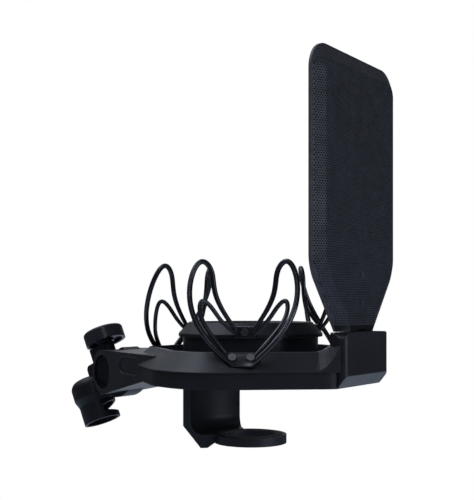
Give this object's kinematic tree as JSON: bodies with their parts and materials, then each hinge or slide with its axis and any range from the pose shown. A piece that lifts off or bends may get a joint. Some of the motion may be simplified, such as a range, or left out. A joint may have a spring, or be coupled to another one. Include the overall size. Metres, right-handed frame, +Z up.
{
  "type": "microphone shock mount with pop shield",
  "caption": "Suspension shock mount for a large studio microphone, with double-loop springs, a plug-in perforated pop shield and a tilting stand adapter.",
  "frame": {"origin": "centre of the microphone's hole in the cradle's base ring, half way through the ring", "axes": "+Z up along the microphone's axis, -Y towards the pop shield, +Y towards the stand adapter"},
  "size_m": [0.1192, 0.1782, 0.1784],
  "materials": {
    "frame_plastic": "satin charcoal moulding",
    "cover_plastic": "matt charcoal moulding",
    "cradle_plastic": "fine-grained charcoal moulding",
    "adapter_plastic": "matt black moulding",
    "lyre_plastic": "smooth black thermoplastic",
    "knob_plastic": "satin black moulding",
    "shield_metal": "black powder-coated perforated sheet",
    "shield_border": "black powder coat",
    "screw_steel": "blackened steel",
    "pin_steel": "black-coated steel",
    "bush_steel": "plain turned steel",
    "spring_steel": "spring steel",
    "washer_rubber": "soft black rubber",
    "pad_brass": "plain brass"
  },
  "bodies": {
    "stand_adapter": {"swivel_body": "adapter_plastic", "thread_bush": "bush_steel", "brake_pad": "pad_brass"},
    "tilt_knob": {"clamp_knob": "knob_plastic", "clamp_stud": "screw_steel"},
    "frame": {"frame_upper": "frame_plastic", "cover_left": "cover_plastic", "cover_right": "cover_plastic", "cover_screws": "screw_steel", "pivot_pin": "pin_steel", "lyre_right": "lyre_plastic", "lyre_left": "lyre_plastic", "lyre_rear": "lyre_plastic", "lyre_screws": "screw_steel", "socket_spring": "spring_steel"},
    "cradle": {"cradle_body": "cradle_plastic", "cradle_collar": "cradle_plastic", "base_washer": "washer_rubber", "foot_screws": "screw_steel"},
    "shield": {"shield_mesh": "shield_metal", "shield_rim": "shield_border", "shield_foot": "shield_border", "shield_rivets": "screw_steel"}
  },
  "joints": [
    {"name": "knob_turn", "type": "hinge", "parent": "stand_adapter", "child": "tilt_knob", "pos_m": [0, 0.09515, 0.04548], "axis": [0, 0.4067, 0.9135], "range_deg": [0, 360]},
    {"name": "frame_tilt", "type": "hinge", "parent": "stand_adapter", "child": "frame", "pos_m": [0, 0.083, 0.029], "axis": [1, 0, 0], "range_deg": [-50, 60]},
    {"name": "cradle_bounce", "type": "slide", "parent": "frame", "child": "cradle", "axis": [0, 0, 1], "range_m": [-0.004, 0.004], "stiffness_N_per_m": 1750, "deforming": ["lyre_right", "lyre_left", "lyre_rear"]},
    {"name": "shield_lift", "type": "slide", "parent": "frame", "child": "shield", "axis": [0, 0, 1], "range_m": [0, 0.02]}
  ]
}
